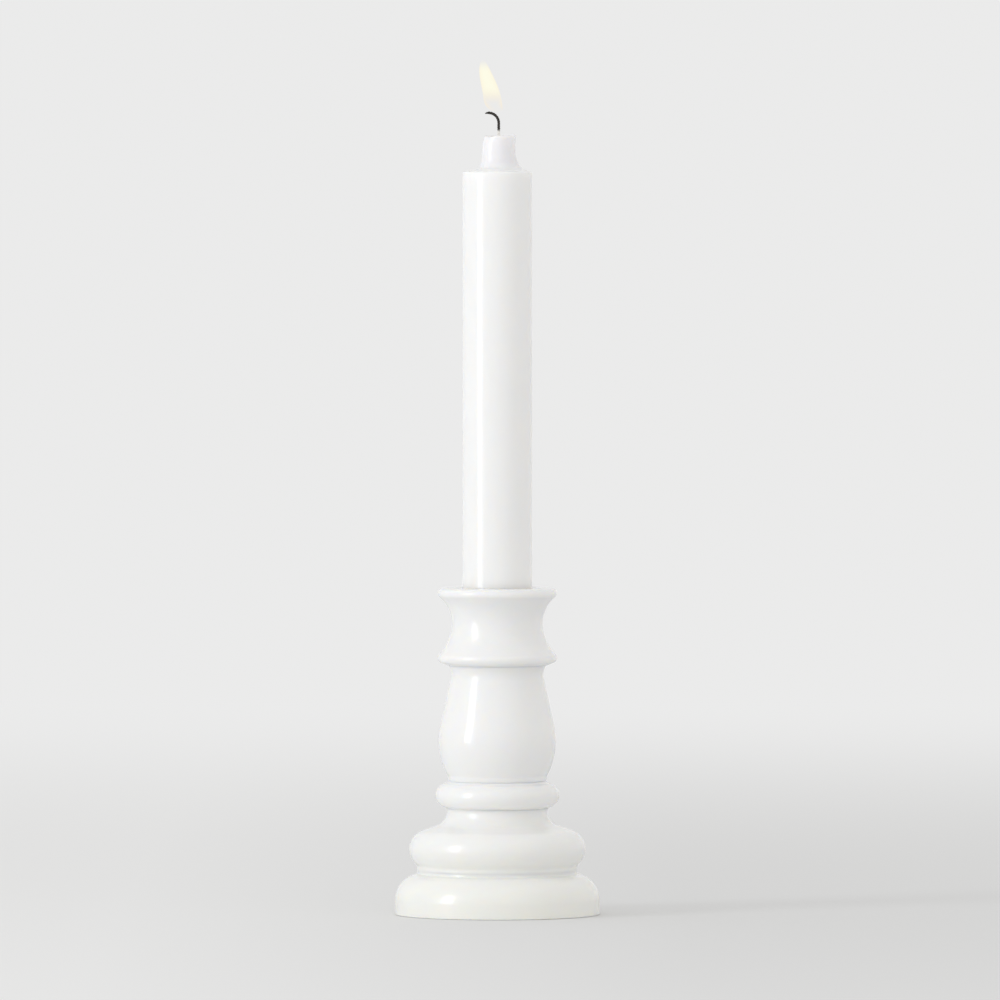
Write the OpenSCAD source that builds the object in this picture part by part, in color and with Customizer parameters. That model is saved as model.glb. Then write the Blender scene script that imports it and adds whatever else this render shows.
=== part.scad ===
// Turned candlestick with a dinner candle.
// Five turned sections stand on each other with spigot joints and are drawn together by one long
// bolt, from the floor of the brass cup liner down to a nut in the underside of the foot.
// The origin is at the middle of the felt's underside, +Z up.

/* [Candle] */
// Diameter of the candle
candle_d = 22; // [16:0.5:27]
// Height of the straight part of the candle, from its base to its shoulder
candle_h = 150.5; // [60:0.5:260]
// Diameter of the narrow tip that stands on the shoulder
tip_d = 11.4; // [8:0.2:14]
// Height of the tip above the shoulder
tip_h = 11.8; // [8:0.2:20]
// Width of the flat shoulder round the hollow that leads into the tip
shoulder_rim = 0.6; // [0.4:0.1:2]
// Radius of that hollow
tip_cove = 8; // [4:0.5:9]
// Chamfer round the candle's base
candle_chamfer = 0.8; // [0.2:0.1:1.5]
// Depth of the melted dish round the wick
dish_h = 1.2; // [0.4:0.1:2]
// Width of the tip's rim round the melted dish
dish_rim = 1.4; // [0.8:0.1:2]

/* [Wick] */
// Diameter of the wick
wick_d = 1; // [0.8:0.1:2]
// Sideways place of the wick in the tip
wick_x = 0.45; // [-1:0.05:1]
// Height of the straight stretch above the tip's rim
wick_rise = 3.6; // [2:0.1:10]
// Radius of the curl at the wick's end
wick_curl = 3.2; // [1.5:0.1:6]
// Angle that the curl turns through
wick_turn = 110; // [40:1:170]
// Height of the wick's lower end above the candle's base
wick_end = 3; // [1:0.5:10]

/* [Candle cup] */
// Thickness of the cup's wall at its waist
cup_wall = 2.35; // [1.8:0.05:5]
// Thickness of the cup's floor under the liner
cup_floor = 2.3; // [1.5:0.1:5]
// Height of the waist above the cup's underside
waist_h = 13.3; // [10:0.1:16]
// How far the lip stands out from the waist
lip_out = 4.5; // [2:0.1:8]
// Radius of the lip's rounded edge
lip_round = 1.6; // [1:0.1:3]
// How far the ring at the bottom of the cup stands out from the waist
ring_out = 4.55; // [2:0.1:8]
// Radius of the ring's rounded edge
ring_round = 1.65; // [1:0.05:3]
// Height of the ring's flat underside above the cup's seat
ring_lift = 0.6; // [0.3:0.1:2]

/* [Cup liner] */
// Depth of the socket from the liner's top edge to its floor
socket_h = 18; // [12:0.5:30]
// Wall of the liner
liner_wall = 0.75; // [0.5:0.05:1.5]
// Thickness of the liner's floor under the cone of the bolt's head
liner_web = 0.5; // [0.3:0.1:2]
// How far the liner's top edge lies below the top of the lip
liner_inset = 1; // [0.2:0.1:3]

/* [Baluster] */
// Height of the baluster section
baluster_h = 36.7; // [30:0.1:60]
// Largest diameter of the belly
belly_d = 37.2; // [32:0.2:48]
// Height of the belly above the section's underside
belly_h = 12.7; // [8:0.1:16]
// Smallest diameter of the neck
neck_d = 29.2; // [26:0.2:32]
// How far the straight taper over the belly stands out from the neck
neck_step = 0.65; // [0.2:0.05:1.5]
// Radius of the hollow round the neck
neck_cove = 6; // [4:0.1:8]
// Height of the neck's narrowest place below the section's top
neck_drop = 3; // [2:0.1:5]

/* [Lower collar] */
// Diameter of the collar
collar_d = 39.3; // [34:0.1:50]
// Radius of the collar's half-round edge
collar_round = 3.85; // [3.3:0.05:6]
// Height of the plain band under the collar's round
collar_lift = 0.2; // [0.1:0.05:1]
// Diameter of the plain fillet over the collar
fillet_d = 30.4; // [26:0.2:34]
// Height of that fillet on the collar
fillet_h = 0.7; // [0.3:0.05:2]
// Height of that fillet on the baluster
belly_fillet = 0.8; // [0.3:0.05:2]

/* [Base bead] */
// Height of the plain band under the bead's round
bead_lift = 0.4; // [0.1:0.1:2]
// Diameter of the bead
bead_d = 55.8; // [46:0.2:70]
// Radius of the bead's half-round edge
bead_round = 6.3; // [4:0.1:8]
// Slope of the shoulder over the bead
shoulder_slope = 18; // [5:1:30]
// Diameter of the section's top
bead_top_d = 31.8; // [28:0.2:36]
// Radius of the cove over the shoulder
bead_cove = 5.2; // [3:0.1:7]
// Height of the plain band over the cove
bead_band = 0.75; // [0.2:0.05:3]

/* [Foot] */
// Diameter of the foot
foot_d = 64.8; // [58:0.2:90]
// Height of the straight edge of the foot
foot_edge = 4.3; // [2:0.1:6]
// Radius of the rolled upper edge
foot_round = 8.5; // [5:0.1:9]
// Depth of the groove between the foot and the bead, from the bead's edge
groove_in = 3.4; // [2:0.1:5]
// Height of the groove's floor on the foot
groove_h = 1; // [0.3:0.1:3]
// Radius of the softened bottom edge
foot_soft = 0.4; // [0.3:0.1:2]

/* [Joints between sections] */
// Diameter of the spigots
spigot_d = 17; // [12:0.5:22]
// Length of the spigots
spigot_h = 6; // [4:0.5:7]
// Clearance round a spigot
spigot_gap = 0.1; // [0.05:0.05:0.3]
// Clearance beyond the end of a spigot
end_gap = 0.5; // [0.3:0.1:1]

/* [Bolt and nut] */
// Diameter of the bolt
bolt_d = 5; // [4:1:6]
// Clearance round the bolt in the sections
bolt_gap = 0.25; // [0.1:0.05:0.5]
// How far the bolt's countersunk head stands out from its shank
head_rim = 2.5; // [2:0.1:3]
// Depth of the head's top below the liner's floor
head_sunk = 0.2; // [0.1:0.05:0.4]
// Depth of the hex socket in the head
key_h = 1.8; // [1:0.1:2.4]
// Width of the hex socket across its flats
key_w = 3; // [2.5:0.5:4]
// Thickness of the nut's wall at its flats
nut_wall = 1.5; // [1:0.1:2.5]
// Height of the nut
nut_h = 2.7; // [2.4:0.1:4]
// Thickness of the spring washer
lock_h = 1.2; // [0.8:0.1:1.6]
// How far the spring washer stands out from the bolt
lock_rim = 1.9; // [1.2:0.1:2.4]
// Width of the slit in the spring washer
lock_slit = 0.8; // [0.5:0.1:1.5]
// How far the flat washer stands out from the bolt
washer_rim = 2.5; // [2:0.1:4]
// Thickness of the flat washer
washer_h = 1; // [0.8:0.1:1.6]
// Length of bolt that shows past the nut
bolt_past = 0.4; // [0.2:0.1:0.6]
// Clearance inside the washers
washer_gap = 0.15; // [0.05:0.05:0.3]
// Clearance between the bolt's thread and the nut's
thread_gap = 0.02; // [0.01:0.01:0.05]
// Chamfer on the bolt's end and the nut's corners
bolt_chamfer = 0.5; // [0.2:0.1:0.8]

/* [Weight and felt] */
// Width of the foot round the weight
weight_rim = 9.4; // [7:0.1:14]
// Thickness of the weight's web, which the bolt pulls against the foot
weight_web = 1.9; // [1.5:0.1:3]
// Clearance round the flat washer, for a key on the nut
key_gap = 2; // [1.5:0.1:3]
// Chamfer on the weight's outer edges
weight_chamfer = 0.6; // [0.3:0.1:1]
// Thickness of the felt
felt_h = 1.6; // [1:0.1:3]
// How far the felt stands below the foot
felt_out = 0.2; // [0.1:0.1:0.8]
// Width of the foot's rim round the felt
felt_rim = 4; // [2:0.1:6]
// Clearance round the weight and the felt
pocket_gap = 0.1; // [0.05:0.05:0.5]
// Clearance over the felt, under the weight and the bolt's end
felt_gap = 0.5; // [0.2:0.1:1]

/* [Fits] */
// Clearance between the candle and the liner
candle_gap = 0.25; // [0.15:0.05:0.6]
// Clearance between the liner and the cup
liner_gap = 0.05; // [0.02:0.01:0.1]
// Clearance round the wick in the candle
wick_gap = 0.05; // [0.02:0.01:0.1]

/* [Hidden] */
$fn = 96;
cut = 1; // how far a cutting shape reaches past the face it cuts

// Radius of an arc that starts upright and moves sideways by out over the given rise
function arc_radius(rise, out) = (pow(rise, 2) + pow(out, 2)) / (2 * out);

// bolt, nut and washers
head_d = bolt_d + 2 * head_rim;
nut_w = bolt_d + 2 * nut_wall;
lock_d = bolt_d + 2 * lock_rim;
washer_d = bolt_d + 2 * washer_rim;
bolt_bore = bolt_d + 2 * bolt_gap;

// underside of the foot, from the felt up to the ceiling of the pocket
bolt_end = felt_h + felt_gap;
nut_z = bolt_end + bolt_past;
lock_z = nut_z + nut_h;
washer_z = lock_z + lock_h;
web_z = washer_z + washer_h;
ceiling_z = web_z + weight_web;
weight_z = bolt_end;
weight_h = ceiling_z - weight_z;
weight_d = foot_d - 2 * weight_rim;
felt_d = foot_d - 2 * felt_rim;

// foot and bead: the shoulder touches the bead at bead_touch and the cove at cove_touch
foot_h = foot_edge + foot_round + groove_h;
groove_r = bead_d / 2 - groove_in;
bead_mid = [bead_d / 2 - bead_round, bead_lift + bead_round];
shoulder = [sin(shoulder_slope), cos(shoulder_slope)];
bead_touch = bead_mid + bead_round * shoulder;
cove_r = bead_top_d / 2 + bead_cove;
cove_z = bead_touch.y + (bead_touch.x - cove_r) * tan(shoulder_slope) + bead_cove / shoulder.y;
cove_touch = [cove_r, cove_z] - bead_cove * shoulder;
bead_h = cove_z + bead_band;
collar_h = collar_lift + 2 * collar_round + fillet_h;

// baluster: the taper touches the belly where its curve has turned through taper_slope
belly_round = arc_radius(belly_h - belly_fillet, (belly_d - fillet_d) / 2);
belly_mid = [belly_d / 2 - belly_round, belly_h];
neck_h = baluster_h - neck_drop;
taper_aim = [neck_d / 2 + neck_step, neck_h] - belly_mid;
taper_slope = atan2(taper_aim.y, taper_aim.x) - acos(belly_round / norm(taper_aim));
// radius at which the baluster and the cup meet, where the neck's hollow ends
seat_r = neck_d / 2 + neck_cove - sqrt(pow(neck_cove, 2) - pow(neck_drop, 2));

// liner and cup
socket_d = candle_d + 2 * candle_gap;
liner_d = socket_d + 2 * liner_wall;
liner_floor = head_sunk + head_rim + liner_web;
cup_bore = liner_d + 2 * liner_gap;
waist_r = cup_bore / 2 + cup_wall;
cup_h = cup_floor + liner_floor + socket_h + liner_inset;

// heights of the sections' undersides, each standing on the one below
foot_z = felt_out;
bead_z = foot_z + foot_h;
collar_z = bead_z + bead_h;
baluster_z = collar_z + collar_h;
cup_z = baluster_z + baluster_h;
liner_z = cup_z + cup_floor;
socket_z = liner_z + liner_floor;
liner_top = socket_z + socket_h;
cup_top = cup_z + cup_h;
candle_top = socket_z + candle_h + tip_h;

white = [0.94, 0.94, 0.92];
wax = [0.96, 0.96, 0.94];
felt = [0.86, 0.85, 0.82];
brass = [0.8, 0.65, 0.35];
iron = [0.25, 0.25, 0.27];
steel = [0.72, 0.73, 0.75];
cotton = [0.12, 0.11, 0.1];

// Half of a section's core, from the axis out to r, between two heights
module core(r, low, high) {
    translate([0, low]) square([r, high - low]);
}

// A full round of the given radius whose outside reaches r
module round_edge(r, radius, z) {
    translate([r - radius, z]) circle(radius);
}

// A core whose wall is hollowed by a circle that touches radius r at height z
module hollow(r, radius, z, out, low, high) {
    difference() {
        core(out, low, high);
        translate([r + radius, z]) circle(radius);
    }
}

// The spigot under a section, standing down from height z
module spigot(z, length) {
    translate([0, 0, z - length]) cylinder(d = spigot_d, h = length + cut);
}

// The socket that the next section's spigot goes into, cut down from height z
module spigot_socket(z) {
    depth = spigot_h + end_gap;
    translate([0, 0, z - depth]) cylinder(d = spigot_d + 2 * spigot_gap, h = depth + cut);
}

// The hole for the bolt, between two heights
module bolt_hole(low, high) {
    translate([0, 0, low - cut]) cylinder(d = bolt_bore, h = high - low + 2 * cut);
}

module felt_pad() {
    color(felt) cylinder(d = felt_d - 2 * pocket_gap, h = felt_h);
}

// A straight edge with a softened lower corner, a quarter-round over it, and the groove's floor
module foot_outline() {
    foot_r = foot_d / 2;
    core(foot_r - foot_soft, 0, foot_edge);
    round_edge(foot_r, foot_soft, foot_soft);
    core(foot_r, foot_soft, foot_edge);
    intersection() {
        round_edge(foot_r, foot_round, foot_edge);
        core(foot_r, foot_edge, foot_h);
    }
    core(foot_r - foot_round, 0, foot_edge + foot_round);
    core(groove_r, 0, foot_h);
}

module foot() {
    color(white) difference() {
        translate([0, 0, foot_z]) rotate_extrude() foot_outline();
        translate([0, 0, -cut]) cylinder(d = felt_d, h = felt_h + cut);
        translate([0, 0, -cut]) cylinder(d = weight_d + 2 * pocket_gap, h = ceiling_z + cut);
        translate([0, 0, foot_z]) cylinder(d = spigot_d + 2 * spigot_gap, h = foot_h + cut);
    }
}

// A disc with chamfered edges, bored for the bolt and counterbored for its nut
module base_weight() {
    outer = weight_d / 2;
    color(iron) difference() {
        translate([0, 0, weight_z]) rotate_extrude() polygon([
            [0, 0],
            [outer - weight_chamfer, 0],
            [outer, weight_chamfer],
            [outer, weight_h - weight_chamfer],
            [outer - weight_chamfer, weight_h],
            [0, weight_h]
        ]);
        bolt_hole(weight_z, ceiling_z);
        translate([0, 0, weight_z - cut])
            cylinder(d = washer_d + 2 * key_gap, h = web_z - weight_z + cut);
    }
}

// The bead, a shoulder that leaves it in a straight slope, and a cove that the slope runs into
module bead_outline() {
    core(groove_r, 0, bead_mid.y);
    translate(bead_mid) circle(bead_round);
    polygon([[0, bead_lift], [bead_mid.x, bead_lift], bead_touch, cove_touch, [0, cove_touch.y]]);
    hollow(bead_top_d / 2, bead_cove, cove_z, cove_touch.x, bead_mid.y, cove_z);
    core(bead_top_d / 2, 0, bead_h);
}

module base_bead() {
    color(white) difference() {
        union() {
            translate([0, 0, bead_z]) rotate_extrude() bead_outline();
            spigot(bead_z, bead_z - ceiling_z - end_gap);
        }
        spigot_socket(collar_z);
        bolt_hole(ceiling_z, collar_z);
    }
}

module collar_outline() {
    middle = collar_lift + collar_round;
    core(bead_top_d / 2, 0, middle);
    round_edge(collar_d / 2, collar_round, middle);
    core(collar_d / 2 - collar_round, collar_lift, middle + collar_round);
    core(fillet_d / 2, 0, collar_h);
}

module lower_collar() {
    color(white) difference() {
        union() {
            translate([0, 0, collar_z]) rotate_extrude() collar_outline();
            spigot(collar_z, spigot_h);
        }
        spigot_socket(baluster_z);
        bolt_hole(collar_z - spigot_h, baluster_z);
    }
}

// The belly, a straight taper that leaves it, and the hollow round the neck
module baluster_outline() {
    touch = belly_mid + belly_round * [cos(taper_slope), sin(taper_slope)];
    neck_mid = neck_d / 2 + neck_cove;
    core(fillet_d / 2, 0, belly_fillet);
    intersection() {
        translate(belly_mid) circle(belly_round);
        core(belly_d, 0, touch.y);
    }
    difference() {
        union() {
            polygon([[0, touch.y], touch, taper_aim + belly_mid, [0, neck_h]]);
            core(neck_mid, neck_h, baluster_h);
        }
        translate([neck_mid, neck_h]) circle(neck_cove);
    }
}

module baluster() {
    color(white) difference() {
        union() {
            translate([0, 0, baluster_z]) rotate_extrude() baluster_outline();
            spigot(baluster_z, spigot_h);
        }
        spigot_socket(cup_z);
        bolt_hole(baluster_z - spigot_h, cup_z);
    }
}

// The ring, the hollow that rises from it to the waist, and the hollow up to the flared lip
module cup_outline() {
    corner = 1 - cos(45);
    ring_r = waist_r + ring_out;
    ring_z = ring_lift + ring_round;
    ring_meet = [ring_r, ring_lift + 2 * ring_round] - ring_round * corner * [1, 1];
    lip_r = waist_r + lip_out;
    lip_z = cup_h - lip_round;
    lip_meet = [lip_r - lip_round * corner, cup_h - lip_round * (2 - corner)];
    lower = arc_radius(waist_h - ring_meet.y, ring_meet.x - waist_r);
    upper = arc_radius(lip_meet.y - waist_h, lip_meet.x - waist_r);
    core(seat_r, 0, ring_z);
    core(ring_r - ring_round, ring_lift, ring_z);
    round_edge(ring_r, ring_round, ring_z);
    hollow(waist_r, lower, waist_h, ring_meet.x, ring_z, waist_h);
    hollow(waist_r, upper, waist_h, lip_meet.x, waist_h, lip_z);
    round_edge(lip_r, lip_round, lip_z);
    core(lip_r - lip_round, lip_z, cup_h);
}

module candle_cup() {
    color(white) difference() {
        union() {
            translate([0, 0, cup_z]) rotate_extrude() cup_outline();
            spigot(cup_z, spigot_h);
        }
        translate([0, 0, liner_z]) cylinder(d = cup_bore, h = cup_top - liner_z + cut);
        bolt_hole(cup_z - spigot_h, liner_z);
    }
}

// A cone that narrows downwards from the head's diameter to the bolt's
module head_cone() {
    translate([0, 0, socket_z - head_sunk - head_rim]) cylinder(d1 = bolt_d, d2 = head_d, h = head_rim);
}

module cup_liner() {
    color(brass) difference() {
        translate([0, 0, liner_z]) cylinder(d = liner_d, h = liner_top - liner_z);
        translate([0, 0, socket_z]) cylinder(d = socket_d, h = socket_h + cut);
        translate([0, 0, socket_z - head_sunk]) cylinder(d = head_d, h = head_sunk + cut);
        head_cone();
        bolt_hole(liner_z, socket_z);
    }
}

module tie_bolt() {
    head_top = socket_z - head_sunk;
    color(steel) difference() {
        union() {
            head_cone();
            translate([0, 0, bolt_end + bolt_chamfer])
                cylinder(d = bolt_d, h = head_top - cut - bolt_end - bolt_chamfer);
            translate([0, 0, bolt_end])
                cylinder(d1 = bolt_d - 2 * bolt_chamfer, d2 = bolt_d, h = bolt_chamfer);
        }
        translate([0, 0, head_top - key_h]) cylinder(d = key_w / cos(30), h = key_h + cut, $fn = 6);
    }
}

module base_washer() {
    color(steel) translate([0, 0, washer_z]) difference() {
        cylinder(d = washer_d, h = washer_h);
        translate([0, 0, -cut]) cylinder(d = bolt_d + 2 * washer_gap, h = washer_h + 2 * cut);
    }
}

module lock_washer() {
    color(steel) translate([0, 0, lock_z]) difference() {
        cylinder(d = lock_d, h = lock_h);
        translate([0, 0, -cut]) cylinder(d = bolt_d + 2 * washer_gap, h = lock_h + 2 * cut);
        translate([0, -lock_slit / 2, -cut]) cube([lock_d, lock_slit, lock_h + 2 * cut]);
    }
}

module base_nut() {
    corner_d = nut_w / cos(30);
    color(steel) translate([0, 0, nut_z]) difference() {
        intersection() {
            cylinder(d = corner_d, h = nut_h, $fn = 6);
            union() {
                cylinder(d1 = nut_w, d2 = nut_w + 4 * bolt_chamfer, h = bolt_chamfer);
                translate([0, 0, bolt_chamfer])
                    cylinder(d = nut_w + 4 * bolt_chamfer, h = nut_h - bolt_chamfer);
            }
        }
        translate([0, 0, -cut]) cylinder(d = bolt_d + 2 * thread_gap, h = nut_h + 2 * cut);
    }
}

// The straight stick with its chamfered base, the hollow over its shoulder, and the tip
module candle_outline() {
    candle_r = candle_d / 2;
    tip_r = tip_d / 2;
    rim_r = candle_r - shoulder_rim;
    cove_out = tip_r + tip_cove - rim_r;
    hollow_z = candle_h + sqrt(pow(tip_cove, 2) - pow(cove_out, 2));
    polygon([
        [0, 0],
        [candle_r - candle_chamfer, 0],
        [candle_r, candle_chamfer],
        [candle_r, candle_h],
        [0, candle_h]
    ]);
    hollow(tip_r, tip_cove, hollow_z, rim_r, candle_h - cut, hollow_z);
    core(tip_r, 0, candle_h + tip_h);
}

module candle() {
    dish_r = arc_radius(tip_d / 2 - dish_rim, dish_h);
    color(wax) difference() {
        translate([0, 0, socket_z]) rotate_extrude() candle_outline();
        translate([0, 0, candle_top - dish_h + dish_r]) sphere(dish_r);
        translate([wick_x, 0, socket_z + wick_end])
            cylinder(d = wick_d + 2 * wick_gap, h = candle_h + tip_h);
    }
}

module wick() {
    low = socket_z + wick_end;
    bend = candle_top + wick_rise;
    color(cotton) {
        translate([wick_x, 0, low]) cylinder(d = wick_d, h = bend - low);
        translate([wick_x - wick_curl, 0, bend]) rotate([90, 0, 0])
            rotate_extrude(angle = wick_turn) translate([wick_curl, 0]) circle(d = wick_d);
    }
}

felt_pad();
foot();
base_weight();
base_bead();
lower_collar();
baluster();
candle_cup();
cup_liner();
tie_bolt();
base_washer();
lock_washer();
base_nut();
candle();
wick();
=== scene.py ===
import math

import bpy
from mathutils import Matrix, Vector, noise


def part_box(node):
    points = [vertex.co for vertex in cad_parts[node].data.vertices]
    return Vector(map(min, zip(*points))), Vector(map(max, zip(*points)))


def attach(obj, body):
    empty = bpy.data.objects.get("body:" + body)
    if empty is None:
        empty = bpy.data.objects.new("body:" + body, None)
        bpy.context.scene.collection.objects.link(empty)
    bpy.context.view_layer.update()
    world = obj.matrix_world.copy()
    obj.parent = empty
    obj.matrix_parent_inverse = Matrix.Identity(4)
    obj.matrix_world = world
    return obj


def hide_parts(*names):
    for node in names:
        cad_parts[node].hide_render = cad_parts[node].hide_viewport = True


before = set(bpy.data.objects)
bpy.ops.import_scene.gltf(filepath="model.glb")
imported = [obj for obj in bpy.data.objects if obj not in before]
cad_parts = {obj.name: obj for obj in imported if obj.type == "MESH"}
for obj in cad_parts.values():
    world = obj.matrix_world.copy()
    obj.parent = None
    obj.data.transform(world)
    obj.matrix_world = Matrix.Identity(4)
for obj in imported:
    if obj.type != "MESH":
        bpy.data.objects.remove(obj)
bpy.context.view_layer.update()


# Camera: a long lens nearly four metres away, at the height of the candle's shoulder, tipped down a
# little to take in the stick from the floor to the flame. It looks along +Y.
MM = 0.001
EYE = Vector((0.00085, -3.9, 0.230))
AIM = Vector((0.00085, 0.0, 0.1312))
LENS_LONG = 444.0
SENSOR_WIDE = 36.0

lens = bpy.data.cameras.new("long_lens")
lens.lens = LENS_LONG
lens.sensor_width = SENSOR_WIDE
camera = bpy.data.objects.new("long_lens", lens)
camera.location = EYE
camera.rotation_euler = (AIM - EYE).to_track_quat("-Z", "Y").to_euler()
bpy.context.scene.collection.objects.link(camera)
bpy.context.scene.camera = camera
bpy.context.scene.view_settings.view_transform = "Standard"


# Foot: the wide disc that the stick stands on, turned from one blank, with a rolled upper edge and
# two pockets underneath, for the felt and for the weight. The stick is sprayed with white lacquer,
# which is painted darker and warmer low down, as painted shade near the table.
FOOT_R = 32.4
FOOT_CORNER = 0.25
FOOT_CLEAR = 0.05
FOOT_EDGE = 4.45
FOOT_ROLL = 8.5
GROOVE_R = 25.4
FELT_POCKET = (28.4, 1.6)
WEIGHT_POCKET = (23.1, 9.3)
SPIGOT_R = 8.5
SOCKET_R = 8.6
SOCKET_DEPTH = 6.5
BOLT_HOLE_R = 2.75
OUTLINE_STEP = 0.2
SAME_SPOT = 0.01
ROUND_STEPS = 192
SHARP_TURN = 40.0
LACQUER_EASE = 0.45
LACQUER_DEEP = 0.0005
LACQUER_LIGHT = (0.955, 0.958, 0.938, 1.0)
LACQUER_SHADE = (0.940, 0.943, 0.918, 1.0)
# The colour painted low on the stick as painted shade near the table.
LACQUER_LOW_SHADE = (0.928, 0.918, 0.864, 1.0)
LOW_SHADE_TO = 45.0
LACQUER_GLOW = (1.0, 0.90, 0.74)
CREASE_FILL = 0.3


def top_of(node_name):
    """The height of a node's top face, in millimetres."""
    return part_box(node_name)[1].z / MM


def arc(mid, radius, start, end):
    """Points along an arc in the outline's plane, its angles in degrees from the outward direction."""
    turn = math.radians(end - start)
    count = max(6, round(abs(turn) * radius / OUTLINE_STEP))
    angles = [math.radians(start) + turn * i / count for i in range(count + 1)]
    return [(mid[0] + radius * math.cos(a), mid[1] + radius * math.sin(a)) for a in angles]


def even(points, step):
    """The same line with its points a fixed step apart."""
    spaced = [points[0]]
    for a, b in zip(points, points[1:]):
        count = max(1, math.ceil(math.dist(a, b) / step))
        for i in range(1, count + 1):
            spaced.append((a[0] + (b[0] - a[0]) * i / count, a[1] + (b[1] - a[1]) * i / count))
    return [p for i, p in enumerate(spaced) if i == 0 or math.dist(p, spaced[i - 1]) > SAME_SPOT]


def eased(points, ease):
    """A cut outline with its corners rounded and its creases filled, as thick lacquer leaves them."""
    line = even(points, OUTLINE_STEP)
    for _ in range(round(2 * (ease / OUTLINE_STEP) ** 2)):
        inner = [
            tuple((a[k] + 2 * b[k] + c[k]) / 4 for k in (0, 1))
            for a, b, c in zip(line, line[1:], line[2:])
        ]
        line = [line[0]] + inner + [line[-1]]
    return line


def smooth_piece(name, verts, faces):
    """A smooth-shaded object made of these points and faces."""
    mesh = bpy.data.meshes.new(name)
    mesh.from_pydata(verts, [], faces)
    mesh.shade_smooth()
    made = bpy.data.objects.new(name, mesh)
    bpy.context.scene.collection.objects.link(made)
    return made


def turned(name, outline, steps=ROUND_STEPS):
    """A solid turned from an outline of (radius, height), run anticlockwise, in millimetres."""
    closed = outline[0][0] > 0
    verts = []
    rings = []
    for radius, height in outline:
        if radius > 0:
            rings.append([len(verts) + s for s in range(steps)])
            for s in range(steps):
                a = math.tau * s / steps
                verts.append((radius * math.cos(a) * MM, radius * math.sin(a) * MM, height * MM))
        else:
            rings.append([len(verts)] * steps)
            verts.append((0.0, 0.0, height * MM))
    faces = []
    pairs = zip(rings, rings[1:] + rings[:1]) if closed else zip(rings, rings[1:])
    for low, high in pairs:
        for s in range(steps):
            t = (s + 1) % steps
            corners = [low[s], low[t], high[t], high[s]]
            faces.append(list(dict.fromkeys(corners)))
    made = smooth_piece(name, verts, faces)
    made.data.set_sharp_from_angle(angle=math.radians(SHARP_TURN))
    return made


def node(material, kind, values=None, **settings):
    """One node of a material, with its settings and what goes into its inputs."""
    made = material.node_tree.nodes.new(kind)
    for key, value in settings.items():
        setattr(made, key, value)
    for key, value in (values or {}).items():
        if isinstance(value, bpy.types.NodeSocket):
            material.node_tree.links.new(value, made.inputs[key])
        else:
            made.inputs[key].default_value = value
    return made


def finish(name, **sockets):
    """A new material, with fixed values on its shader's own sockets."""
    made = bpy.data.materials.new(name)
    made.use_nodes = True
    for key, value in sockets.items():
        made.node_tree.nodes["Principled BSDF"].inputs[key.replace("_", " ")].default_value = value
    return made


def feed(material, socket, source):
    """Joins a node's output to a socket of the material's shader."""
    shader = material.node_tree.nodes["Principled BSDF"]
    material.node_tree.links.new(source, shader.inputs[socket])


def mottle(material, scale, detail=3.0, stretch=(1.0, 1.0, 1.0)):
    """Cloudy noise over the piece, from 0 to 1, at a scale in features per metre."""
    place = node(material, "ShaderNodeTexCoord").outputs["Object"]
    mapped = node(material, "ShaderNodeMapping", {"Vector": place, "Scale": stretch})
    values = {"Vector": mapped.outputs["Vector"], "Scale": scale, "Detail": detail}
    return node(material, "ShaderNodeTexNoise", values).outputs["Fac"]


def level(material):
    """How high a point of the piece stands, in metres."""
    place = node(material, "ShaderNodeTexCoord").outputs["Object"]
    return node(material, "ShaderNodeSeparateXYZ", {"Vector": place}).outputs["Z"]


def ramp(material, value, start, end, **settings):
    """From 0 where the value is at the start to 1 where it is at the end."""
    values = {"Value": value, "From Min": start, "From Max": end}
    return node(material, "ShaderNodeMapRange", values, **settings).outputs["Result"]


def rising(material, start, end, **settings):
    """From 0 at one height to 1 at another, in millimetres."""
    return ramp(material, level(material), start * MM, end * MM, **settings)


def between(material, factor, low, high):
    """A number that follows the factor from low to high."""
    values = {"Value": factor, "To Min": low, "To Max": high}
    return node(material, "ShaderNodeMapRange", values).outputs["Result"]


def blend_colours(material, factor, first, second):
    """A colour between two others."""
    made = node(material, "ShaderNodeMix", data_type="RGBA")
    colour_ins = [s for s in made.inputs if s.type == "RGBA"]
    material.node_tree.links.new(factor, made.inputs[0])
    for socket, value in zip(colour_ins, (first, second)):
        if isinstance(value, bpy.types.NodeSocket):
            material.node_tree.links.new(value, socket)
        else:
            socket.default_value = value
    return next(s for s in made.outputs if s.type == "RGBA")


def relief(material, height, depth, under=None):
    """A surface relief of a depth in millimetres, laid over another where one is given."""
    values = {"Height": height, "Distance": depth * MM}
    if under is not None:
        values["Normal"] = under
    return node(material, "ShaderNodeBump", values).outputs["Normal"]


lacquer = finish(
    "white_lacquer",
    IOR=1.5,
    Subsurface_Weight=1.0,
    Subsurface_Radius=LACQUER_GLOW,
    Subsurface_Scale=LACQUER_DEEP,
    Coat_Weight=0.85,
    Coat_Roughness=0.08,
    Coat_IOR=1.5,
)
clouds = blend_colours(lacquer, mottle(lacquer, scale=55.0), LACQUER_SHADE, LACQUER_LIGHT)
# Painted shade: the lacquer is painted darker and warmer towards the foot, fading out 45 mm up.
above_low_shade = rising(lacquer, 0.0, LOW_SHADE_TO)
feed(lacquer, "Base Color", blend_colours(lacquer, above_low_shade, LACQUER_LOW_SHADE, clouds))
feed(lacquer, "Roughness", between(lacquer, mottle(lacquer, scale=140.0), low=0.30, high=0.42))
sprayed = relief(lacquer, mottle(lacquer, scale=420.0, detail=2.0), depth=0.010)
flowed = relief(lacquer, mottle(lacquer, scale=70.0, detail=1.0), depth=0.060, under=sprayed)
feed(lacquer, "Normal", flowed)
feed(lacquer, "Coat Normal", flowed)


def lacquered(piece, *nodes):
    """Finishes a turned section in lacquer and stands it in for its node on the stick."""
    piece.data.materials.append(lacquer)
    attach(piece, "stick")
    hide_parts(*nodes)


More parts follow.
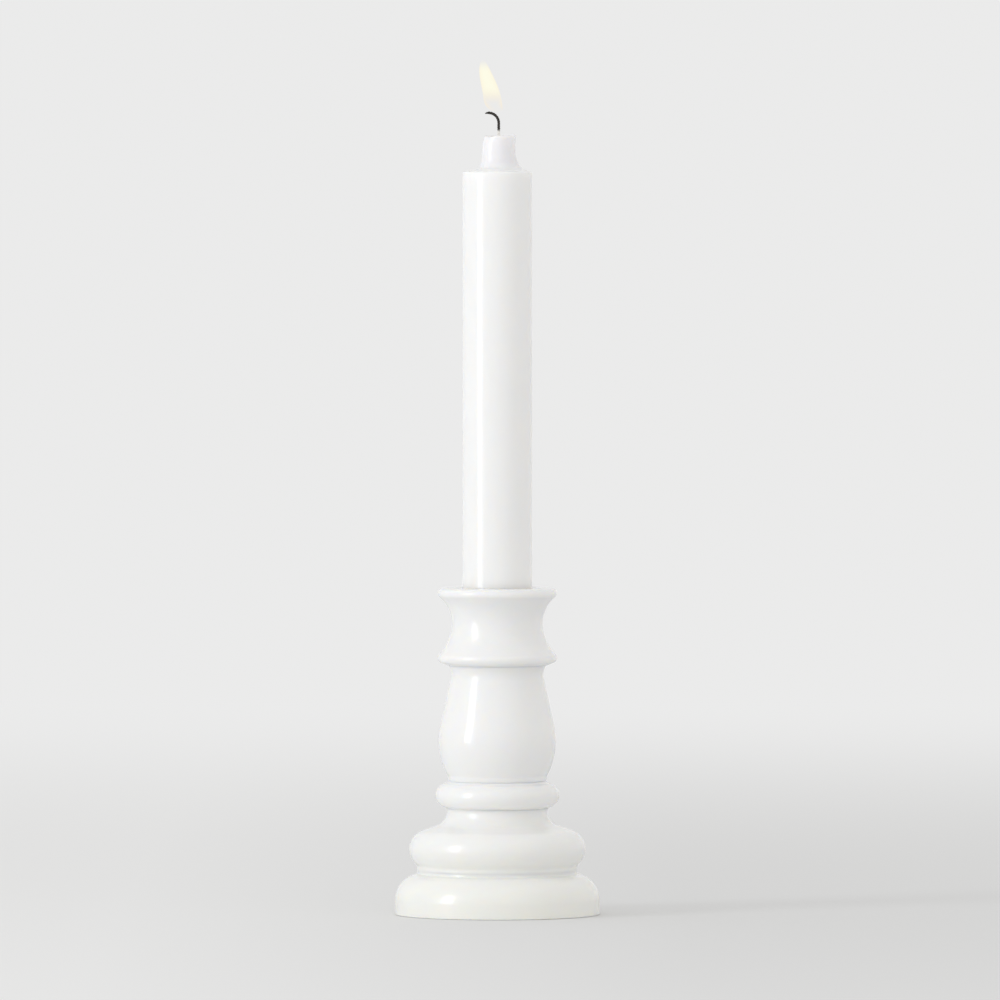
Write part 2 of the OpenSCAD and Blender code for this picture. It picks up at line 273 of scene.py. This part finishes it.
foot_top = top_of("foot")
edge_top = FOOT_CLEAR + FOOT_EDGE
roll_mid = (FOOT_R - FOOT_ROLL, edge_top)
roll_end = math.degrees(math.acos((GROOVE_R - roll_mid[0]) / FOOT_ROLL))
foot_under = [(FELT_POCKET[0], FOOT_CLEAR)] + arc(
    (FOOT_R - FOOT_CORNER, FOOT_CLEAR + FOOT_CORNER), FOOT_CORNER, -90, 0
)
foot_rim = foot_under + eased(
    [foot_under[-1]] + arc(roll_mid, FOOT_ROLL, 0, roll_end) + [(GROOVE_R, foot_top)], LACQUER_EASE
)
foot_inside = [
    (SOCKET_R, foot_top),
    (SOCKET_R, WEIGHT_POCKET[1]),
    WEIGHT_POCKET,
    (WEIGHT_POCKET[0], FELT_POCKET[1]),
    FELT_POCKET,
]
lacquered(turned("turned_foot", foot_rim + foot_inside), "foot")


# Base bead: the fat half-round over the foot, with a cove cut above it. Its spigot is glued into the
# foot, and the next section's spigot goes into its top. A shallow groove is left over the foot.
BEAD_R = 27.9
BEAD_ROUND = 6.3
BEAD_LIFT = 0.4
BEAD_TOP_R = 15.9
BEAD_COVE = 5.2
SHOULDER_SLOPE = 18.0
BEAD_BAND = 0.75


def section_outline(rim, low):
    """The closed outline of a section: its rim, a spigot below, and a socket above."""
    base = rim[0][1]
    top = rim[-1][1]
    socket_floor = top - SOCKET_DEPTH
    inside = [(SOCKET_R, top), (SOCKET_R, socket_floor), (BOLT_HOLE_R, socket_floor)]
    return rim + inside + [(BOLT_HOLE_R, low), (SPIGOT_R, low), (SPIGOT_R, base)]


bead_top = top_of("base_bead")
bead_mid = (BEAD_R - BEAD_ROUND, foot_top + BEAD_LIFT + BEAD_ROUND)
cove_mid = (BEAD_TOP_R + BEAD_COVE, bead_top - BEAD_BAND)
bead_start = -math.degrees(math.acos((GROOVE_R - bead_mid[0]) / BEAD_ROUND))
bead_rim = eased(
    [(GROOVE_R, foot_top)]
    + arc(bead_mid, BEAD_ROUND, bead_start, 90 - SHOULDER_SLOPE)
    + arc(cove_mid, BEAD_COVE, 270 - SHOULDER_SLOPE, 180)
    + [(BEAD_TOP_R + CREASE_FILL, bead_top)],
    LACQUER_EASE,
)
bead_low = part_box("base_bead")[0].z / MM
lacquered(turned("turned_bead", section_outline(bead_rim, bead_low)), "base_bead")


# Lower collar: a half-round ring under the vase, turned as its own section between two spigots,
# with a small flat fillet on top where the vase stands.
COLLAR_R = 19.65
COLLAR_ROUND = 3.85
COLLAR_LIFT = 0.2
COLLAR_LEDGE = 0.3
COLLAR_END = 84
FILLET_R = 15.2

collar_top = top_of("lower_collar")
collar_mid = (COLLAR_R - COLLAR_ROUND, bead_top + COLLAR_LIFT + COLLAR_ROUND)
collar_foot_r = BEAD_TOP_R + CREASE_FILL
collar_ledge_r = collar_foot_r + COLLAR_LEDGE
collar_start = -math.degrees(math.acos((collar_ledge_r - collar_mid[0]) / COLLAR_ROUND))
collar_rim = eased(
    [(collar_foot_r, bead_top)]
    + arc(collar_mid, COLLAR_ROUND, collar_start, COLLAR_END)
    + [(FILLET_R + CREASE_FILL, collar_top)],
    LACQUER_EASE,
)
collar_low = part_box("lower_collar")[0].z / MM
lacquered(turned("turned_collar", section_outline(collar_rim, collar_low)), "lower_collar")


# Baluster: the vase-shaped stem, widest low down, that tapers to a neck and flares a little again
# under the cup. It is turned along the grain from one square.
BELLY_R = 18.6
BELLY_H = 12.7
BELLY_FILLET = 0.8
BELLY_LEDGE = 0.2
NECK_R = 14.6
NECK_COVE = 6.0
NECK_DROP = 3.0
NECK_START = 200
NECK_STEP = 0.65
NECK_LIP = 0.7

baluster_top = top_of("baluster")
belly_out = BELLY_R - FILLET_R
belly_rise = BELLY_H - BELLY_FILLET
belly_round = (belly_rise ** 2 + belly_out ** 2) / (2 * belly_out)
belly_mid = (BELLY_R - belly_round, collar_top + BELLY_H)
neck_mid = (NECK_R + NECK_COVE, baluster_top - NECK_DROP)
taper_end = Vector((NECK_R + NECK_STEP - belly_mid[0], neck_mid[1] - belly_mid[1]))
taper_turn = math.atan2(taper_end.y, taper_end.x) - math.acos(belly_round / taper_end.length)
flare_turn = math.degrees(math.asin(NECK_DROP / NECK_COVE))
neck_arc = arc(neck_mid, NECK_COVE, NECK_START, 180 - flare_turn)
belly_ledge_r = FILLET_R + CREASE_FILL + BELLY_LEDGE
belly_start = -math.degrees(math.acos((belly_ledge_r - belly_mid[0]) / belly_round))
baluster_rim = eased(
    [(FILLET_R + CREASE_FILL, collar_top)]
    + arc(belly_mid, belly_round, belly_start, math.degrees(taper_turn))
    + neck_arc[:-1]
    + [(neck_arc[-1][0] + NECK_LIP, baluster_top)],
    LACQUER_EASE,
)
baluster_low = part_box("baluster")[0].z / MM
lacquered(turned("turned_baluster", section_outline(baluster_rim, baluster_low)), "baluster")


# Candle cup: the top section, with a ring round its bottom, a hollow waist and a flared lip. It is
# bored out for the brass liner, and its top face is a little crowned.
WAIST_R = 14.4
WAIST_H = 13.3
RING_R = 18.95
RING_ROUND = 1.65
RING_LIFT = 0.6
RING_ARC = (-62, 45)
LIP_R = 18.9
LIP_ROUND = 1.6
LIP_CROWN = 0.15
LIP_ARC = (-45, 78)
CROWN_R = 14.4
CROWN_ROUND = 14.0
CROWN_ARC = (84, 97)
LINER_BORE_R = 12.05
BORE_LEAD = (0.1, 0.2)
BORE_START = 0.4

cup_top = top_of("candle_cup")
cup_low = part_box("candle_cup")[0].z / MM
liner_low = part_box("cup_liner")[0].z / MM
ring_mid = (RING_R - RING_ROUND, baluster_top + RING_LIFT + RING_ROUND)
lip_mid = (LIP_R - LIP_ROUND, cup_top - LIP_CROWN - LIP_ROUND)
waist_z = baluster_top + WAIST_H
ring_arc = arc(ring_mid, RING_ROUND, *RING_ARC)
lip_arc = arc(lip_mid, LIP_ROUND, *LIP_ARC)


def hollow_arc(end):
    """The hollow curve between the waist and a point further out, from the waist outwards."""
    out = end[0] - WAIST_R
    rise = end[1] - waist_z
    radius = (rise ** 2 + out ** 2) / (2 * out)
    reach = math.degrees(math.asin(rise / radius))
    return arc((WAIST_R + radius, waist_z), radius, 180, 180 - reach)


cup_rim = eased(
    [baluster_rim[-1]]
    + ring_arc
    + hollow_arc(ring_arc[-1])[::-1]
    + hollow_arc(lip_arc[0])
    + lip_arc
    + arc((CROWN_R, cup_top - CROWN_ROUND), CROWN_ROUND, *CROWN_ARC)
    + [(LINER_BORE_R + BORE_LEAD[0], cup_top - BORE_LEAD[1])],
    LACQUER_EASE,
)
cup_inside = [
    (LINER_BORE_R, cup_top - BORE_START),
    (LINER_BORE_R, liner_low),
    (BOLT_HOLE_R, liner_low),
    (BOLT_HOLE_R, cup_low),
    (SPIGOT_R, cup_low),
    (SPIGOT_R, baluster_top),
]
lacquered(turned("turned_cup", cup_rim + cup_inside), "candle_cup")


# Cup liner: a brass cup turned on a lathe, with fine tool rings, pressed into the candle cup a
# millimetre below its rim, so that the wax and the flame never reach the stick.
BRASS_BRIGHT = (0.80, 0.60, 0.30, 1.0)
BRASS_DULL = (0.52, 0.36, 0.17, 1.0)
TOOL_RINGS = 2600.0
WAVES = 6.0


def rings_up(material, count):
    """Fine rings round the piece, as many to the metre of height."""
    place = node(material, "ShaderNodeTexCoord").outputs["Object"]
    values = {"Vector": place, "Scale": count / WAVES, "Distortion": 1.5, "Detail": 1.0}
    made = node(material, "ShaderNodeTexWave", values, wave_type="BANDS", bands_direction="Z")
    return made.outputs["Fac"]


def dress(node_name, material):
    """Gives a node that shows its own shape a finish."""
    mesh_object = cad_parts[node_name]
    for place in mesh_object.material_slots:
        place.material = material


brass = finish("turned_brass", Metallic=1.0)
tarnish = mottle(brass, scale=260.0, detail=4.0)
feed(brass, "Base Color", blend_colours(brass, tarnish, BRASS_BRIGHT, BRASS_DULL))
feed(brass, "Roughness", between(brass, mottle(brass, scale=700.0), low=0.22, high=0.45))
feed(brass, "Normal", relief(brass, rings_up(brass, TOOL_RINGS), depth=0.015))
dress("cup_liner", brass)


# Tie bolt, nut and washers: zinc-plated steel. The bolt goes down through all five sections and
# draws them on to the weight under the foot.
ZINC_BRIGHT = (0.66, 0.68, 0.70, 1.0)
ZINC_DULL = (0.46, 0.47, 0.49, 1.0)

zinc = finish("zinc_plate", Metallic=1.0)
spangle = mottle(zinc, scale=900.0, detail=4.0)
feed(zinc, "Base Color", blend_colours(zinc, spangle, ZINC_BRIGHT, ZINC_DULL))
feed(zinc, "Roughness", between(zinc, mottle(zinc, scale=500.0), low=0.28, high=0.5))
feed(zinc, "Normal", relief(zinc, mottle(zinc, scale=1500.0), depth=0.01))
for fixing in ("tie_bolt", "base_washer", "lock_washer", "base_nut"):
    dress(fixing, zinc)


# Base weight: a cast-iron disc in the underside of the foot, left as it came from the sand, with a
# thin coat of black paint.
IRON_DARK = (0.030, 0.030, 0.033, 1.0)
IRON_WORN = (0.095, 0.090, 0.088, 1.0)

iron = finish("sand_cast_iron", Metallic=0.6)
sand = mottle(iron, scale=1100.0, detail=5.0)
feed(iron, "Base Color", blend_colours(iron, sand, IRON_DARK, IRON_WORN))
feed(iron, "Roughness", between(iron, mottle(iron, scale=300.0), low=0.55, high=0.85))
feed(iron, "Normal", relief(iron, sand, depth=0.12))
dress("base_weight", iron)


# Felt: a disc of thick wool felt, die-cut and glued into the foot's pocket. It stands just below the
# foot, so that the lacquer never touches the table.
FELT_R = 28.3
FELT_EASE = 0.25
FELT_STEP = 0.8
FELT_STEPS = 96
FELT_EYE = 0.4
FELT_PALE = (0.72, 0.71, 0.67, 1.0)
FELT_DEEP = (0.50, 0.49, 0.45, 1.0)

felt_low, felt_high = (corner.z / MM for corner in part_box("felt_pad"))
felt_edge = [(FELT_R - FELT_EASE, felt_low), (FELT_R, felt_low + FELT_EASE)]
felt_rim = [(FELT_R, felt_high - FELT_EASE), (FELT_R - FELT_EASE, felt_high)]
felt_disc = turned(
    "felt_disc",
    [(0.0, felt_low)]
    + even([(FELT_EYE, felt_low)] + felt_edge, FELT_STEP)
    + felt_rim
    + even([felt_rim[-1], (FELT_EYE, felt_high)], FELT_STEP)
    + [(0.0, felt_high)],
    FELT_STEPS,
)
wool = finish(
    "wool_felt", Sheen_Weight=0.4, Sheen_Roughness=0.5, Sheen_Tint=(0.95, 0.94, 0.90, 1.0)
)
fibres = mottle(wool, scale=1800.0, detail=6.0, stretch=(1.0, 3.0, 1.0))
matted = mottle(wool, scale=260.0, detail=4.0)
feed(wool, "Base Color", blend_colours(wool, fibres, FELT_DEEP, FELT_PALE))
feed(wool, "Roughness", between(wool, matted, low=0.82, high=0.98))
lumps = relief(wool, matted, depth=0.3)
feed(wool, "Normal", relief(wool, fibres, depth=0.35, under=lumps))
felt_disc.data.materials.append(wool)
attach(felt_disc, "stick")
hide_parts("felt_pad")


# Candle: a straight dinner candle of pressed white wax, with a stepped tip that leans a little and
# has begun to melt into a shallow dish round the wick. It is pushed into the cup, and lifts
# straight out.
CANDLE_R = 11.0
CANDLE_CHAMFER = 0.8
SHOULDER_EASE = 0.5
SHOULDER_RIM = 0.6
SHOULDER_TURN = 80
SHOULDER_FINE = 6.0
BODY_STEP = 3.0
HOLE_STEP = 4.0
WAX_EASE = 0.22
TIP_R = 5.3
TIP_H = 11.8
TIP_COVE = 6.6
TIP_SHIFT = 0.45
TIP_MELTED = 3.2
RIM_NECK = (0.25, 1.5)
RIM_BACK = 0.75
RIM_ROUND = 0.55
RIM_ARC = (10, 120)
RIM_DROP = 0.55
RIM_FLARE = 0.40
COVE_PULL = 0.85
COVE_EASE = 1.1
DISH_DEPTH = 1.1
DISH_ROUND = 8.0
DISH_ARC = (-58, -86)
DISH_EDGE = 0.2
CORE_R = 2.0
INNER_R = TIP_R - 1.0
LEAN_RISE = 5.0
WANDER_OUT = 0.18
WANDER_DOWN = 0.25
WANDER_TURN = 1.6
WANDER_RISE = 0.12
WICK_HOLE_R = 0.55
WAX_LIGHT = (0.950, 0.955, 0.955, 1.0)
WAX_SHADE = (0.930, 0.935, 0.935, 1.0)
# The colour painted over the tip as painted shade.
WAX_TIP_SHADE = (0.880, 0.872, 0.900, 1.0)
WAX_GLOW = (1.0, 0.93, 0.84)
WAX_DEEP = 0.0030
TIP_SHADE_RISE = 3.0

candle_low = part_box("candle")[0].z / MM
candle_top = top_of("candle")
wick_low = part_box("wick")[0].z / MM
shoulder_z = candle_top - TIP_H
cove_out = TIP_R + TIP_COVE - (CANDLE_R - SHOULDER_RIM)
tip_mid = (TIP_R + TIP_COVE, shoulder_z + math.sqrt(TIP_COVE ** 2 - cove_out ** 2))
cove_turn = 180 + math.degrees(math.acos(cove_out / TIP_COVE))
dish_mid = (0.0, candle_top - DISH_DEPTH + DISH_ROUND)
body_end = (CANDLE_R, shoulder_z - SHOULDER_FINE)
body = even([(CANDLE_R, candle_low + CANDLE_CHAMFER), body_end], BODY_STEP)
shoulder = eased(
    [body_end]
    + arc((CANDLE_R - SHOULDER_EASE, shoulder_z - SHOULDER_EASE), SHOULDER_EASE, 0, SHOULDER_TURN)
    + arc(tip_mid, TIP_COVE, cove_turn, 180)
    + [(TIP_R - RIM_NECK[0], candle_top - RIM_NECK[1])]
    + arc((TIP_R - RIM_BACK, candle_top - RIM_ROUND), RIM_ROUND, *RIM_ARC)
    + arc(dish_mid, DISH_ROUND, *DISH_ARC)
    + [(WICK_HOLE_R, candle_top - DISH_DEPTH)],
    WAX_EASE,
)
candle = turned(
    "dinner_candle",
    [(0.0, candle_low), (CANDLE_R - CANDLE_CHAMFER, candle_low)]
    + body[:-1]
    + shoulder
    + even([shoulder[-1], (WICK_HOLE_R, wick_low)], HOLE_STEP)[1:]
    + [(0.0, wick_low)],
)


def soft_step(value):
    """From 0 to 1, easing in and out."""
    value = min(1.0, max(0.0, value))
    return value * value * (3 - 2 * value)


def melted_spot(spot):
    """Where a point of the tip or the core ends up once the tip has leaned and begun to melt."""
    reach = spot.xy.length
    turn = math.atan2(spot.y, spot.x)
    lee = 0.5 - 0.5 * math.cos(turn)
    inner = reach < INNER_R
    lean = 1.0 if inner else soft_step((spot.z - shoulder_z) / LEAN_RISE)
    melted = soft_step((spot.z - candle_top + TIP_MELTED) / TIP_MELTED)
    around = Vector((math.cos(turn), math.sin(turn), spot.z * WANDER_RISE))
    wander = noise.noise(around * WANDER_TURN)
    out = spot.xy.normalized() if reach > 0 else Vector((0.0, 0.0))
    grown = 0.0
    if not inner:
        grown = WANDER_OUT * lean * wander + RIM_FLARE * melted * math.cos(turn)
    if reach > TIP_R:
        grown -= COVE_PULL * lee * soft_step((spot.z - shoulder_z) / COVE_EASE) * (reach - TIP_R)
    drop = melted * (RIM_DROP * lee - WANDER_DOWN * wander)
    if inner and spot.z < candle_top - DISH_DEPTH - DISH_EDGE:
        drop = 0.0
    return spot + Vector((out.x * grown + TIP_SHIFT * lean, out.y * grown, -drop))


for point in candle.data.vertices:
    spot = point.co / MM
    if spot.z >= shoulder_z or spot.xy.length <= CORE_R:
        point.co = melted_spot(spot) * MM

wax = finish(
    "white_wax",
    IOR=1.45,
    Subsurface_Weight=1.0,
    Subsurface_Radius=WAX_GLOW,
    Subsurface_Scale=WAX_DEEP,
    Coat_Weight=0.8,
    Coat_Roughness=0.13,
    Coat_IOR=1.45,
)
pressed = blend_colours(wax, mottle(wax, scale=80.0), WAX_SHADE, WAX_LIGHT)
# Painted shade: the wax is painted greyer and lilac above the shoulder, over the whole tip.
tip_shade = rising(wax, shoulder_z, shoulder_z + TIP_SHADE_RISE)
feed(wax, "Base Color", blend_colours(wax, tip_shade, pressed, WAX_TIP_SHADE))
feed(wax, "Roughness", between(wax, mottle(wax, scale=200.0), low=0.30, high=0.40))
drawn = mottle(wax, scale=90.0, detail=2.0, stretch=(1.0, 1.0, 0.25))
feed(wax, "Normal", relief(wax, drawn, depth=0.05))
candle.data.materials.append(wax)
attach(candle, "candle")
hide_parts("candle")


# Wick: a flat three-strand braid of cotton through the middle of the candle. It is burnt black above
# the wax, and curls over to one side so that its end stays in the edge of the flame.
STRAND_R = 0.25
STRAND_SIDES = 8
STRAND_STEP = 0.16
BRAID_WIDE = 0.22
BRAID_DEEP = 0.13
BRAID_PITCH = 2.2
WICK_RISE = 3.6
WICK_CURL = 3.2
WICK_TURN = 110.0
WICK_TAPER = 1.2
BRAID_END = 0.4
STRAND_END = 0.35
BURNT_BELOW = 3.0
BURNT_OVER = 8.0
BURNT_SWELL = 0.35
SWELL_RISE = 1.7
CHAR = (0.010, 0.009, 0.008, 1.0)
ASH = (0.070, 0.062, 0.055, 1.0)
SOAKED = (0.84, 0.82, 0.78, 1.0)
SOAKED_TO = 0.9
CHARRED_FROM = 1.6
ACROSS = Vector((0.0, 1.0, 0.0))

bend_z = candle_top + WICK_RISE
straight = bend_z - wick_low
whole = straight + WICK_CURL * math.radians(WICK_TURN)


def along_wick(travel):
    """The middle of the wick and its sideways direction, after a length along it."""
    if travel < straight:
        return Vector((TIP_SHIFT, 0.0, wick_low + travel)), Vector((1.0, 0.0, 0.0))
    turn = (travel - straight) / WICK_CURL
    mid = Vector((TIP_SHIFT - WICK_CURL, 0.0, bend_z))
    out = Vector((math.cos(turn), 0.0, math.sin(turn)))
    return mid + out * WICK_CURL, out


def strand(verts, faces, phase):
    """One strand of the braid, as a closed tube."""
    sides = STRAND_SIDES
    count = round(whole / STRAND_STEP)
    first = len(verts)
    for i in range(count + 1):
        travel = whole * i / count
        mid, out = along_wick(travel)
        swing = math.tau * travel / BRAID_PITCH + phase
        full = min(1.0, (whole - travel) / WICK_TAPER)
        wide = BRAID_WIDE * (BRAID_END + (1.0 - BRAID_END) * full)
        mid = mid + out * wide * math.sin(swing) + ACROSS * BRAID_DEEP * math.sin(2 * swing)
        burnt = max(0.0, (travel - straight + BURNT_BELOW) / BURNT_OVER)
        uneven = noise.noise(Vector((phase, 0.0, travel * SWELL_RISE)))
        swell = 1.0 + BURNT_SWELL * burnt * uneven
        radius = STRAND_R * swell * (STRAND_END + (1.0 - STRAND_END) * full)
        for s in range(sides):
            a = math.tau * s / sides
            verts.append((mid + (out * math.cos(a) + ACROSS * math.sin(a)) * radius) * MM)
    for i in range(count):
        low = first + i * sides
        for s in range(sides):
            t = (s + 1) % sides
            faces.append((low + s, low + t, low + sides + t, low + sides + s))
    faces.append([first + s for s in range(sides)][::-1])
    faces.append([first + count * sides + s for s in range(sides)])


wick_verts = []
wick_faces = []
for third in range(3):
    strand(wick_verts, wick_faces, math.tau * third / 3)
wick = smooth_piece("braided_wick", wick_verts, wick_faces)

cotton = finish("burnt_cotton", Roughness=0.9)
charred = rising(cotton, candle_top + SOAKED_TO, candle_top + CHARRED_FROM)
flaked = blend_colours(cotton, mottle(cotton, scale=1400.0, detail=4.0), CHAR, ASH)
feed(cotton, "Base Color", blend_colours(cotton, charred, SOAKED, flaked))
feed(cotton, "Normal", relief(cotton, mottle(cotton, scale=2600.0, detail=4.0), depth=0.08))
wick.data.materials.append(cotton)
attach(wick, "candle")
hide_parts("wick")


# Flame: a small flame that leans away from the draught. It stands on the curl of the wick, pale
# yellow at its heart, peach at its edges, and nearly clear low down where the gas isn't yet alight.
# Each ring below is its height over the wax, its sideways lean and its radius.
FLAME_RINGS = [
    (7.3, 0.10, 1.50),
    (7.8, -0.30, 2.05),
    (8.6, -0.85, 2.50),
    (9.8, -1.30, 2.75),
    (11.0, -1.50, 2.80),
    (12.6, -1.75, 2.75),
    (14.2, -2.15, 2.68),
    (15.9, -2.65, 2.55),
    (17.6, -3.20, 2.30),
    (19.2, -3.70, 2.00),
    (20.6, -4.05, 1.70),
    (22.0, -4.35, 1.25),
    (23.0, -4.50, 0.80),
]
FLAME_FOOT = (7.0, 0.10)
FLAME_TIP = (23.7, -4.60)
FLAME_FLAT = 0.85
FLAME_STEPS = 48
FLAME_HEART = (1.0, 0.985, 0.80, 1.0)
FLAME_EDGE = (1.0, 0.82, 0.60, 1.0)
ALIGHT = (9.0, 15.5)
SHEATH_IN = (6.8, 9.5)
SHEATH_OUT = (17.0, 12.5)
TIP_OUT = (23.9, 19.5)

flame_verts = [Vector((FLAME_FOOT[1], 0.0, candle_top + FLAME_FOOT[0])) * MM]
for height, lean, radius in FLAME_RINGS:
    for s in range(FLAME_STEPS):
        a = math.tau * s / FLAME_STEPS
        across = (lean + radius * math.cos(a), radius * FLAME_FLAT * math.sin(a))
        flame_verts.append(Vector((*across, candle_top + height)) * MM)
flame_verts.append(Vector((FLAME_TIP[1], 0.0, candle_top + FLAME_TIP[0])) * MM)
flame_faces = []
for s in range(FLAME_STEPS):
    t = (s + 1) % FLAME_STEPS
    flame_faces.append((0, 1 + t, 1 + s))
    for ring in range(len(FLAME_RINGS) - 1):
        low = 1 + ring * FLAME_STEPS
        flame_faces.append((low + s, low + t, low + FLAME_STEPS + t, low + FLAME_STEPS + s))
    last = 1 + (len(FLAME_RINGS) - 1) * FLAME_STEPS
    flame_faces.append((last + s, last + t, len(flame_verts) - 1))
flame = smooth_piece("flame", flame_verts, flame_faces)
rounding = flame.modifiers.new("rounding", "SUBSURF")
rounding.levels = 1
rounding.render_levels = 1

glow = finish(
    "flame_glow", Base_Color=(0.0, 0.0, 0.0, 1.0), Specular_IOR_Level=0.0, Emission_Strength=1.0
)
facing = node(glow, "ShaderNodeLayerWeight", {"Blend": 0.5}).outputs["Facing"]


def up_flame(start, end):
    """From 0 to 1 between two heights over the candle's top, in millimetres."""
    return rising(glow, candle_top + start, candle_top + end, interpolation_type="SMOOTHSTEP")


def number(operation, first, second):
    """Two of the flame's numbers joined by an operation."""
    return node(glow, "ShaderNodeMath", {0: first, 1: second}, operation=operation).outputs[0]


lit = up_flame(*ALIGHT)
low_warmth = between(glow, lit, low=0.75, high=0.0)
edge_warmth = between(glow, facing, low=0.0, high=0.5)
warmth = number("MAXIMUM", low_warmth, edge_warmth)
feed(glow, "Emission Color", blend_colours(glow, warmth, FLAME_HEART, FLAME_EDGE))
sheath = number("MULTIPLY", between(glow, facing, low=0.0, high=0.55), up_flame(*SHEATH_IN))
low_veil = number("MULTIPLY", sheath, up_flame(*SHEATH_OUT))
high_veil = between(glow, number("POWER", facing, 3.0), low=0.72, high=0.10)
spread = number("MULTIPLY", number("MULTIPLY", lit, high_veil), up_flame(*TIP_OUT))
feed(glow, "Alpha", number("MAXIMUM", spread, low_veil))
flame.data.materials.append(glow)
flame.visible_shadow = False
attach(flame, "candle")


# Table: a plain pale top, wide enough to catch every shadow, with painted shade that darkens it
# towards the right. Away from the stick it fades into the colour of the pale room behind it.
TABLE_R = 2.5
TABLE_SOLID = 0.10
TABLE_CLEAR = 1.60
TABLE_PALE = (0.85, 0.85, 0.85, 1.0)
TABLE_RIGHT_SHADE = (0.76, 0.76, 0.76, 1.0)
UNLIT = (0.0, 0.0, 0.0, 1.0)
ROOM_FAR = (0.830, 0.830, 0.828, 1.0)
TABLE_STEPS = 128
RIGHT_SHADE_START = -0.12
RIGHT_SHADE_FULL = 0.06

turns = [math.tau * s / TABLE_STEPS for s in range(TABLE_STEPS)]
table_edge = [(TABLE_R * math.cos(a), TABLE_R * math.sin(a), 0.0) for a in turns]
table_top = smooth_piece("table_top", table_edge, [list(range(TABLE_STEPS))])
paint = finish("table_paint", Roughness=0.8, Specular_IOR_Level=0.0, Emission_Strength=1.0)
place = node(paint, "ShaderNodeTexCoord").outputs["Object"]
sideways = node(paint, "ShaderNodeSeparateXYZ", {"Vector": place}).outputs["X"]
# Painted shade: the table is painted darker from 12 cm left of the stick to 6 cm right of it.
right_shade = ramp(paint, sideways, RIGHT_SHADE_START, RIGHT_SHADE_FULL)
painted = blend_colours(paint, right_shade, TABLE_PALE, TABLE_RIGHT_SHADE)
far = node(paint, "ShaderNodeVectorMath", {0: place}, operation="LENGTH").outputs["Value"]
fade = ramp(paint, far, TABLE_SOLID, TABLE_CLEAR, interpolation_type="SMOOTHSTEP")
feed(paint, "Base Color", blend_colours(paint, fade, painted, UNLIT))
feed(paint, "Emission Color", blend_colours(paint, fade, UNLIT, ROOM_FAR))
table_top.data.materials.append(paint)


# Light: one tall soft window to the left and in front, down to the table, in a pale room that is
# brightest in front and a little darker and warmer on the right.
KEY_TURN = 59.0
KEY_FAR = 1.5
KEY_WIDE = 0.42
KEY_TALL = 1.05
KEY_FOOT = -0.02
KEY_BRIGHT = 4.0
KEY_COLOUR = (0.96, 0.99, 1.0)
ROOM_NEAR = (0.950, 0.945, 0.932, 1.0)
ROOM_RIGHT = (0.790, 0.780, 0.760, 1.0)
FRONT = -1.0
FRONT_ENDS = -0.15
RIGHT_STARTS = 0.15
RIGHT = 0.90

key = bpy.data.lights.new("soft_window", "AREA")
key.shape = "RECTANGLE"
key.size = KEY_WIDE
key.size_y = KEY_TALL
key.energy = KEY_BRIGHT * math.pi * KEY_WIDE * KEY_TALL
key.color = KEY_COLOUR
window = bpy.data.objects.new("soft_window", key)
turn = math.radians(KEY_TURN)
middle = KEY_FOOT + KEY_TALL / 2
window.location = (-KEY_FAR * math.sin(turn), -KEY_FAR * math.cos(turn), middle)
inward = Vector((math.sin(turn), math.cos(turn), 0.0))
window.rotation_euler = inward.to_track_quat("-Z", "Y").to_euler()
bpy.context.scene.collection.objects.link(window)

room = bpy.data.worlds.new("pale_room")
room.use_nodes = True
outward = node(room, "ShaderNodeTexCoord").outputs["Generated"]
bearing = node(room, "ShaderNodeSeparateXYZ", {"Vector": outward})
away = ramp(room, bearing.outputs["Y"], FRONT, FRONT_ENDS, interpolation_type="SMOOTHSTEP")
aside = ramp(room, bearing.outputs["X"], RIGHT_STARTS, RIGHT, interpolation_type="SMOOTHSTEP")
along = blend_colours(room, away, ROOM_NEAR, ROOM_FAR)
walls = blend_colours(room, aside, along, ROOM_RIGHT)
room.node_tree.links.new(walls, room.node_tree.nodes["Background"].inputs["Color"])
bpy.context.scene.world = room
